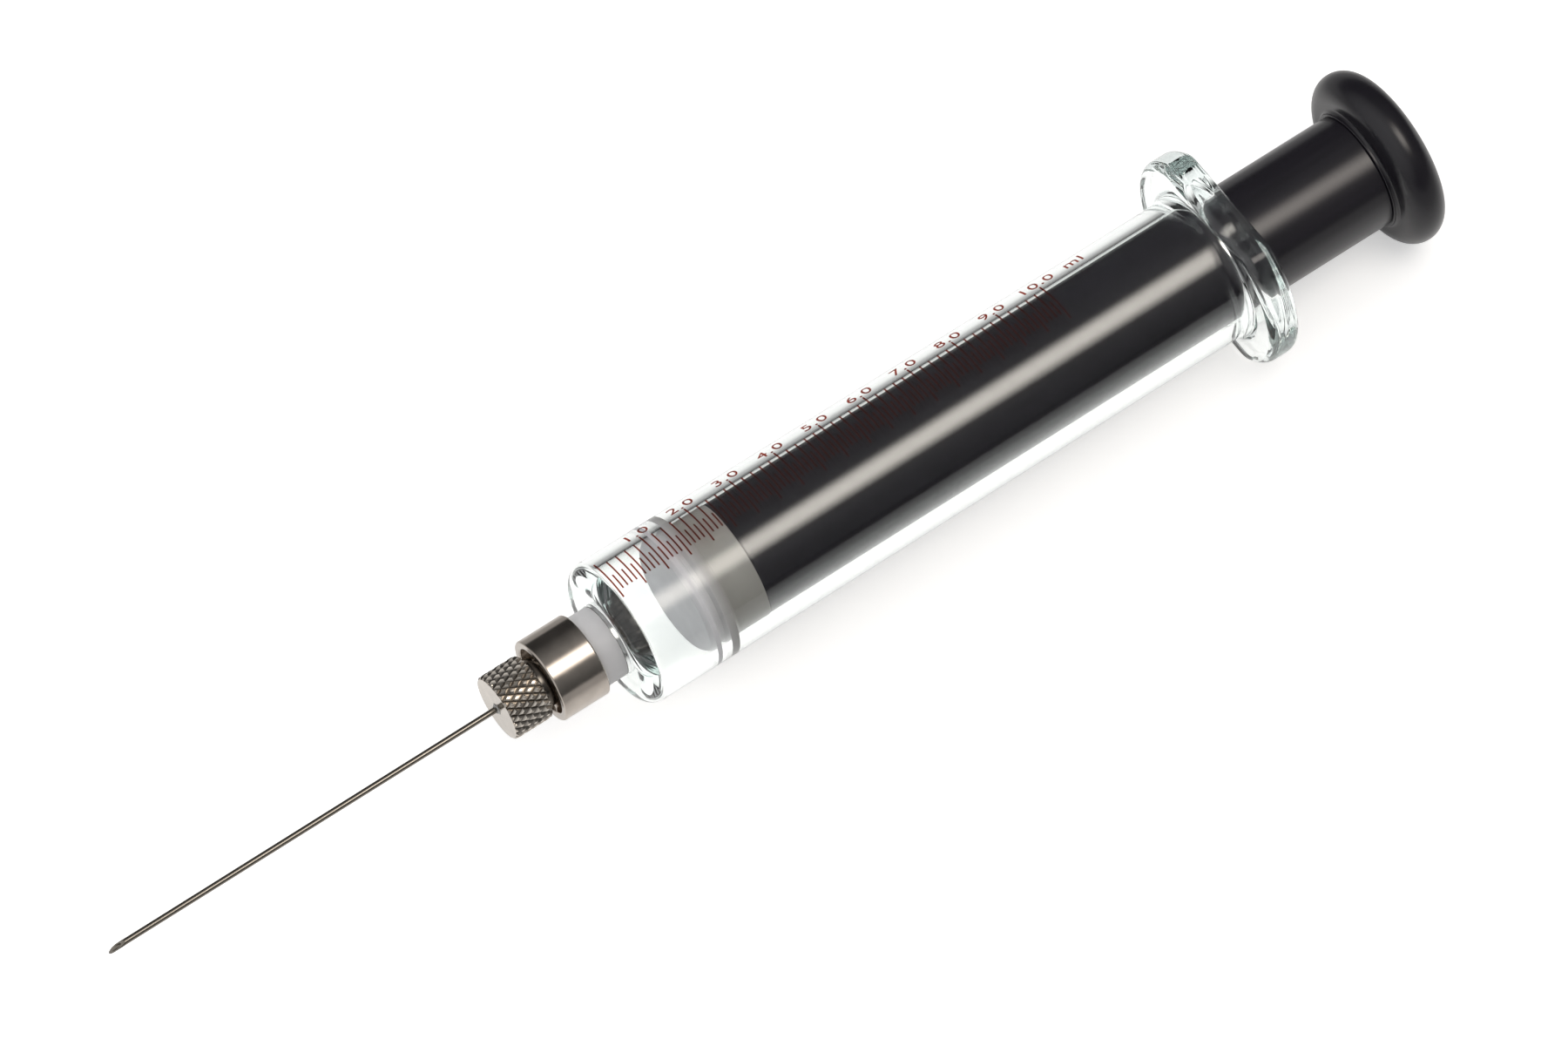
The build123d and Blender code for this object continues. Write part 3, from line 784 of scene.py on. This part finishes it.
class SYRINGE_OT_needle(bpy.types.Operator):
    """Build the knurled hub with its ears, the solder and the needle"""

    bl_idname = "syringe.needle"
    bl_label = "Needle"

    def execute(self, context):
        look, knurl = context.scene.syringe_look, context.scene.syringe_knurl
        cells = 12
        around = knurl.diamonds * cells
        lead = 2 * pi * GRIP_RADIUS / knurl.diamonds / tan(knurl.angle)
        rows_count = ceil((GRIP_BACK - HUB_FRONT) / (lead / cells))
        mesh = bmesh.new()
        grip = []
        for k in range(rows_count + 1):
            x = min(GRIP_BACK, HUB_FRONT + k * lead / cells)
            reach = knurled(x, knurl.depth / MM, knurl.diamonds, lead, knurl.chamfer / MM)
            grip.append(ring(x, reach, around))
        solder_hole = SOLDER_RADIUS + 0.03
        inner = rounded(
            (GRIP_BACK, HUB_RADIUS),
            (GRIP_BACK + 0.05, HUB_RADIUS),
            (HUB_MOUTH, HUB_RADIUS, 0.1),
            (HUB_MOUTH, luer_radius(HUB_MOUTH) + LUER_GAP, 0.1),
            (HUB_CAVITY, luer_radius(HUB_CAVITY) + LUER_GAP),
            (HUB_CAVITY, solder_hole),
            (HUB_FRONT, solder_hole),
            (HUB_FRONT, solder_hole + 0.05),
        )
        face_edge = GRIP_RADIUS - max(knurl.chamfer, knurl.depth) / MM - 0.02
        rows = grip + [ring(x, r, around) for x, r in inner] + [ring(HUB_FRONT, face_edge, around)]
        skin(mesh, rows, closed=True, flat=range(rows_count))
        half_ear = asin(EAR_WIDTH / 2 / EAR_RADIUS)
        for side in (pi / 2, -pi / 2):
            foot = [(HUB_RADIUS - JOIN_OVERLAP, turn) for turn in (-half_ear, half_ear)]
            arc = [(EAR_RADIUS, half_ear - 2 * half_ear * k / 12) for k in range(13)]
            outline = [(r * cos(side + turn), r * sin(side + turn)) for r, turn in foot + arc]
            prism(
                mesh,
                [(HUB_MOUTH - EAR_THICKNESS, y, z) for y, z in outline],
                [(HUB_MOUTH, y, z) for y, z in outline],
            )
        groove_bottom = GRIP_RADIUS - knurl.depth / MM
        # The painted shade runs 1 mm past the grip, over the hub where it lies in the collar's mouth.
        grooves = (HUB_FRONT + 0.03, GRIP_BACK + 1.0, groove_bottom, GRIP_RADIUS - 0.05)
        nickel = nickel_plate("nickel_plate_knurled", look.hub_nickel, grooves)
        finish_piece("knurled_hub", mesh, "needle_hub", "needle", nickel)
        bead = rounded(
            (HUB_CAVITY, NEEDLE_RADIUS + 0.03),
            (HUB_CAVITY, SOLDER_RADIUS),
            (HUB_FRONT, SOLDER_RADIUS, 0.1),
            (BEAD_FRONT, NEEDLE_RADIUS + 0.03),
            hold=0.01,
        )
        turned("solder_bead", bead, "solder_ring", "needle_carrier", solder(look), around=96)

        def ground(reach):
            """Where the bevel, which faces up, cuts the tube at each angle."""
            return lambda angle: NEEDLE_POINT + (reach * sin(angle) + NEEDLE_RADIUS) / tan(NEEDLE_BEVEL)

        tube = bmesh.new()
        bevel_end = NEEDLE_POINT + 2 * NEEDLE_RADIUS / tan(NEEDLE_BEVEL) + 0.1
        rows = [
            ring(x, r, 64)
            for x, r in (
                (ground(NEEDLE_RADIUS - 0.01), NEEDLE_RADIUS - 0.01),
                (ground(NEEDLE_RADIUS), NEEDLE_RADIUS),
                (bevel_end, NEEDLE_RADIUS),
                (HUB_CAVITY - 0.1, NEEDLE_RADIUS),
                (HUB_CAVITY, NEEDLE_RADIUS),
                (HUB_CAVITY, NEEDLE_BORE_RADIUS),
                (HUB_CAVITY - 0.1, NEEDLE_BORE_RADIUS),
                (bevel_end, NEEDLE_BORE_RADIUS),
                (ground(NEEDLE_BORE_RADIUS), NEEDLE_BORE_RADIUS),
                (ground(NEEDLE_BORE_RADIUS + 0.01), NEEDLE_BORE_RADIUS + 0.01),
            )
        ]
        skin(tube, rows, closed=True)
        finish_piece("needle_tube", tube, "needle_cannula", "needle", drawn_stainless(look))
        return {"FINISHED"}


class SYRINGE_OT_plunger(bpy.types.Operator):
    """Build the sealing tip, the rod and the thumb button"""

    bl_idname = "syringe.plunger"
    bl_label = "Plunger"

    def execute(self, context):
        look = context.scene.syringe_look
        first_lip = TIP_FACE + LIP_LENGTH
        second_lip = first_lip + LIP_GROOVE
        second_lip_end = second_lip + LIP_LENGTH
        nose_seat = NOSE_FRONT - 0.3
        tip = rounded(
            (TIP_FACE, 0.0),
            (TIP_FACE, LIP_RADIUS - 0.4, 0.1),
            (TIP_FACE + 0.4, PRESSED_LIP_RADIUS, 0.1),
            (first_lip, PRESSED_LIP_RADIUS, 0.1),
            (first_lip + 0.4, GROOVE_RADIUS, 0.1),
            (second_lip - 0.4, GROOVE_RADIUS, 0.1),
            (second_lip, PRESSED_LIP_RADIUS, 0.1),
            (second_lip_end, PRESSED_LIP_RADIUS, 0.1),
            (second_lip_end + 0.4, TIP_BODY_RADIUS, 0.1),
            (TIP_BACK, TIP_BODY_RADIUS, 0.15),
            (TIP_BACK, NOSE_RADIUS + SEAT_GAP),
            (nose_seat, NOSE_RADIUS + SEAT_GAP),
            (nose_seat, 0.0),
        )
        # The tip is painted darker from its first lip back, where the rod lies inside it: painted shade.
        ptfe = turned_ptfe(
            "ptfe_turned_seal", tuple(look.seal), tuple(look.seal_painted_shade), first_lip, second_lip_end + 0.4
        )
        turned("sealing_tip", tip, "plunger_tip", "plunger", ptfe, around=FINE_SEGMENTS)
        stem_seat = STEM_FRONT - 0.5
        rod = rounded(
            (NOSE_FRONT, 0.0),
            (NOSE_FRONT, NOSE_RADIUS, 0.1),
            (TIP_BACK, NOSE_RADIUS),
            (TIP_BACK, ROD_RADIUS, 0.2),
            (ROD_END, ROD_RADIUS, 0.15),
            (ROD_END, STEM_RADIUS + SEAT_GAP),
            (stem_seat, STEM_RADIUS + SEAT_GAP),
            (stem_seat, 0.0),
        )
        turned("rod", rod, "plunger_rod", "plunger", black_anodised(look), around=FINE_SEGMENTS)
        button = rounded(
            (BUTTON_BACK, 0.0),
            (STEM_FRONT, 0.0),
            (STEM_FRONT, STEM_RADIUS, 0.2),
            (ROD_END, STEM_RADIUS),
            (ROD_END, BUTTON_NECK_RADIUS, 0.1),
            (BUTTON_FRONT, BUTTON_NECK_RADIUS, 0.45),
            (BUTTON_FRONT, BUTTON_RADIUS, BUTTON_RIM_ROUND - 0.01),
            (BUTTON_BACK, BUTTON_RADIUS, BUTTON_RIM_ROUND - 0.01),
            hold=0.01,
            step=radians(5),
        )
        turned("button", button, "thumb_button", "plunger", black_plastic(look), around=FINE_SEGMENTS)
        return {"FINISHED"}


# ---- Stage ----
def white_table(look):
    """Matt white table, which keeps the shadow.

    It glows a little where it is seen, mirrored or seen through glass. For mirrors and glass it is painted
    darker
    away to both sides of the syringe: a painted fall-off of light, as of a lamp that lights it best near
    the syringe.
    """
    material, tree, place = new_material("table_matt_white")
    paint = add(tree, "ShaderNodeBsdfDiffuse", {"Color": tuple(look.table)})
    ray = add(tree, "ShaderNodeLightPath").node.outputs
    level = 0.0
    for kind, share in TABLE_GLOW:
        level = add(tree, "ShaderNodeMath", {0: ray[kind], 1: share, 2: level}, operation="MULTIPLY_ADD")
    glow = add(tree, "ShaderNodeEmission", {"Color": (1.0, 1.0, 1.0), "Strength": level})
    lit = add(tree, "ShaderNodeAddShader", {0: paint, 1: glow})
    across = add(tree, "ShaderNodeSeparateXYZ", {"Vector": place}, out="Y")
    off = add(tree, "ShaderNodeMath", {0: across}, operation="ABSOLUTE")
    # Painted fall-off of light: for mirrors and glass the table darkens, up to six tenths of the way to
    # black, away from the syringe.
    painted_falloff = 0.0
    for kind, near, far in TABLE_PAINTED_FALLOFF:
        span = {"Value": off, "From Min": near * MM, "From Max": far * MM, "To Min": 0.0, "To Max": 0.6}
        fade = add(tree, "ShaderNodeMapRange", span)
        painted_falloff = add(tree, "ShaderNodeMath", {0: ray[kind], 1: fade, 2: painted_falloff}, operation="MULTIPLY_ADD")
    # The painted fall-off mixes towards this unlit black.
    dark = add(tree, "ShaderNodeEmission", {"Strength": 0.0})
    surface = add(tree, "ShaderNodeMixShader", {"Fac": painted_falloff, 1: lit, 2: dark})
    add(tree, "ShaderNodeOutputMaterial", {"Surface": surface})
    return material


def softbox_front(lamp):
    """The softbox's cloth: brightest in the middle, fading smoothly towards its edges."""
    lamp.use_nodes = True
    tree = lamp.node_tree
    tree.nodes.clear()
    across = add(tree, "ShaderNodeNewGeometry", out="Parametric")
    centred = add(tree, "ShaderNodeVectorMath", {0: across, 1: (-0.5, -0.5, 0.0)}, operation="ADD")
    sides = add(tree, "ShaderNodeSeparateXYZ", {"Vector": centred}).node.outputs
    level = 1.0
    for side, full in (("X", 0.2), ("Y", 0.05)):
        off = add(tree, "ShaderNodeMath", {0: sides[side]}, operation="ABSOLUTE")
        span = {"Value": off, "From Min": full, "From Max": 0.5, "To Min": 1.0, "To Max": 0.0}
        fade = add(tree, "ShaderNodeMapRange", span, interpolation_type="SMOOTHSTEP")
        level = add(tree, "ShaderNodeMath", {0: fade, 1: level}, operation="MULTIPLY")
    glow = add(tree, "ShaderNodeEmission", {"Color": (1.0, 1.0, 1.0), "Strength": level})
    add(tree, "ShaderNodeOutputLight", {"Surface": glow})


def studio_air(scene, fill):
    """Soft light from all round and most from behind, a dim room in mirrors, and white past the table."""
    world = bpy.data.worlds.new("studio")
    world.use_nodes = True
    tree = world.node_tree
    tree.nodes.clear()
    towards = add(tree, "ShaderNodeTexCoord", out="Generated")

    def level(brightest, start, end, low, high):
        """A level that rises from low to high as the direction turns to where it is brightest."""
        both = {0: towards, 1: tuple(brightest)}
        facing = add(tree, "ShaderNodeVectorMath", both, out="Value", operation="DOT_PRODUCT")
        span = {"Value": facing, "From Min": start, "From Max": end, "To Min": low, "To Max": high}
        return add(tree, "ShaderNodeMapRange", span)

    air = level(AIR_TOWARDS, -0.5, 1.0, 0.0, fill)
    room = level(SOFTBOX_TOWARDS, 0.3, 0.95, 0.035, 0.2)
    window = level(WINDOW_TOWARDS, 0.35, 0.9, 0.0, 0.7)
    room = add(tree, "ShaderNodeMath", {0: room, 1: window}, operation="ADD")
    ahead = level(AHEAD, -0.4, 0.6, 0.03, 0.4)
    ray = add(tree, "ShaderNodeLightPath").node.outputs
    # Light that has already left a dull surface is air, whatever it goes through afterwards.
    first = add(tree, "ShaderNodeMath", {0: ray["Diffuse Depth"], 1: 0.5}, operation="LESS_THAN")
    for kind, seen in (("Is Glossy Ray", room), ("Is Transmission Ray", ahead), ("Is Camera Ray", 1.0)):
        share = add(tree, "ShaderNodeMath", {0: ray[kind], 1: first}, operation="MULTIPLY")
        air = add(tree, "ShaderNodeMix", {"Factor": share, "A": air, "B": seen})
    glow = add(tree, "ShaderNodeBackground", {"Color": (1.0, 1.0, 1.0), "Strength": air})
    add(tree, "ShaderNodeOutputWorld", {"Surface": glow})
    scene.world = world


# The table's glow for each kind of ray, from where to where its painted fall-off darkens it, in mm, and
# half its side, in metres.
TABLE_GLOW = (("Is Camera Ray", 0.43), ("Is Transmission Ray", 0.43), ("Is Glossy Ray", 0.2))
TABLE_PAINTED_FALLOFF = (("Is Glossy Ray", 8.0, 45.0), ("Is Transmission Ray", 30.0, 120.0))
TABLE_HALF = 4.0
CAMERA_RIGHT = Vector((0.8186, -0.5734, -0.0349))
CAMERA_UP = Vector((0.5124, 0.7014, 0.4954))
CAMERA_PLACE = Vector((-355.53, -486.4, 998.5)) * MM
LOOK_AT = Vector((-57.3, 0.5, 0.3)) * MM
SOFTBOX_TOWARDS = Vector((0.2596, -0.338, 0.9047))
AIR_TOWARDS = Vector((-0.25, 0.45, 0.857))
WINDOW_TOWARDS = Vector((-0.8, 0.0, 0.6))
AHEAD = Vector((-1.0, 0.0, 0.0))
# Light caught in thick glass turns many times before it leaves.
GLASS_BOUNCES = 32


class SYRINGE_OT_stage(bpy.types.Operator):
    """Set the table, the softbox and the camera"""

    bl_idname = "syringe.stage"
    bl_label = "Stage"

    def execute(self, context):
        scene, studio = context.scene, context.scene.syringe_studio
        mesh = bmesh.new()
        corners = [(x * TABLE_HALF, y * TABLE_HALF, 0) for x, y in ((-1, -1), (1, -1), (1, 1), (-1, 1))]
        mesh.faces.new([mesh.verts.new(corner) for corner in corners])
        data = bpy.data.meshes.new("table")
        mesh.to_mesh(data)
        mesh.free()
        data.materials.append(white_table(studio))
        table = bpy.data.objects.new("table", data)
        scene.collection.objects.link(table)
        # The syringe lies on the back of its flange's flat and on its shoulder.
        foot_x = FLANGE_BACK - FLANGE_EDGE_ROUND
        shoulder_x = GLASS_FRONT + SHOULDER_ROUND
        lean = Matrix.Rotation(-atan2(FLAT_HEIGHT - BARREL_RADIUS, foot_x - shoulder_x), 4, "Y")
        foot = Vector((foot_x * MM, 0, -FLAT_HEIGHT * MM))
        table.matrix_world = Matrix.Translation(foot) @ lean

        lamp = bpy.data.lights.new("softbox", "AREA")
        lamp.shape = "RECTANGLE"
        lamp.color = studio.softbox_colour
        lamp.size = studio.softbox_length
        lamp.size_y = studio.softbox_width
        lamp.energy = studio.softbox_glow * pi * lamp.size * lamp.size_y
        holder = bpy.data.objects.new("softbox", lamp)
        scene.collection.objects.link(holder)
        back = SOFTBOX_TOWARDS.normalized()
        across = back.cross(Vector((1, 0, 0))).normalized()
        along = across.cross(back)
        turn = Matrix((along, across, back)).transposed().to_4x4()
        holder.matrix_world = Matrix.Translation(LOOK_AT + back * studio.softbox_distance) @ turn
        softbox_front(lamp)
        studio_air(scene, studio.fill)

        lens = bpy.data.cameras.new("camera")
        lens.lens = studio.lens
        lens.sensor_width = 36.0
        lens.clip_end = 20.0
        camera = bpy.data.objects.new("camera", lens)
        scene.collection.objects.link(camera)
        towards = CAMERA_RIGHT.cross(CAMERA_UP).normalized()
        up = towards.cross(CAMERA_RIGHT.normalized())
        turn = Matrix((CAMERA_RIGHT.normalized(), up, towards)).transposed().to_4x4()
        camera.matrix_world = Matrix.Translation(CAMERA_PLACE) @ turn
        scene.camera = camera
        scene.view_settings.view_transform = "Standard"
        scene.cycles.max_bounces = GLASS_BOUNCES
        scene.cycles.glossy_bounces = GLASS_BOUNCES
        scene.cycles.transmission_bounces = GLASS_BOUNCES
        return {"FINISHED"}


OPERATORS = (
    SYRINGE_OT_barrel,
    SYRINGE_OT_scale,
    SYRINGE_OT_fitting,
    SYRINGE_OT_collar,
    SYRINGE_OT_needle,
    SYRINGE_OT_plunger,
    SYRINGE_OT_stage,
)


class SYRINGE_PT_panel(bpy.types.Panel):
    """Settings and build steps of the syringe."""

    bl_idname = "SYRINGE_PT_panel"
    bl_label = "Glass Syringe"
    bl_space_type = "VIEW_3D"
    bl_region_type = "UI"
    bl_category = "Syringe"

    def draw(self, context):
        for name, group in SETTINGS.items():
            box = self.layout.box()
            for setting in group.__annotations__:
                box.prop(getattr(context.scene, name), setting)
        for operator in OPERATORS:
            self.layout.operator(operator.bl_idname)


def register():
    """Registers the settings, the operators and the panel."""
    for name, group in SETTINGS.items():
        bpy.utils.register_class(group)
        setattr(bpy.types.Scene, name, PointerProperty(type=group))
    for item in (*OPERATORS, SYRINGE_PT_panel):
        bpy.utils.register_class(item)


def unregister():
    """Takes them away again."""
    for item in (SYRINGE_PT_panel, *reversed(OPERATORS)):
        bpy.utils.unregister_class(item)
    for name, group in SETTINGS.items():
        delattr(bpy.types.Scene, name)
        bpy.utils.unregister_class(group)


def main():
    """Builds everything in order."""
    register()
    bpy.ops.syringe.barrel()
    bpy.ops.syringe.scale()
    bpy.ops.syringe.fitting()
    bpy.ops.syringe.collar()
    bpy.ops.syringe.needle()
    bpy.ops.syringe.plunger()
    bpy.ops.syringe.stage()


if __name__ == "__main__":
    main()
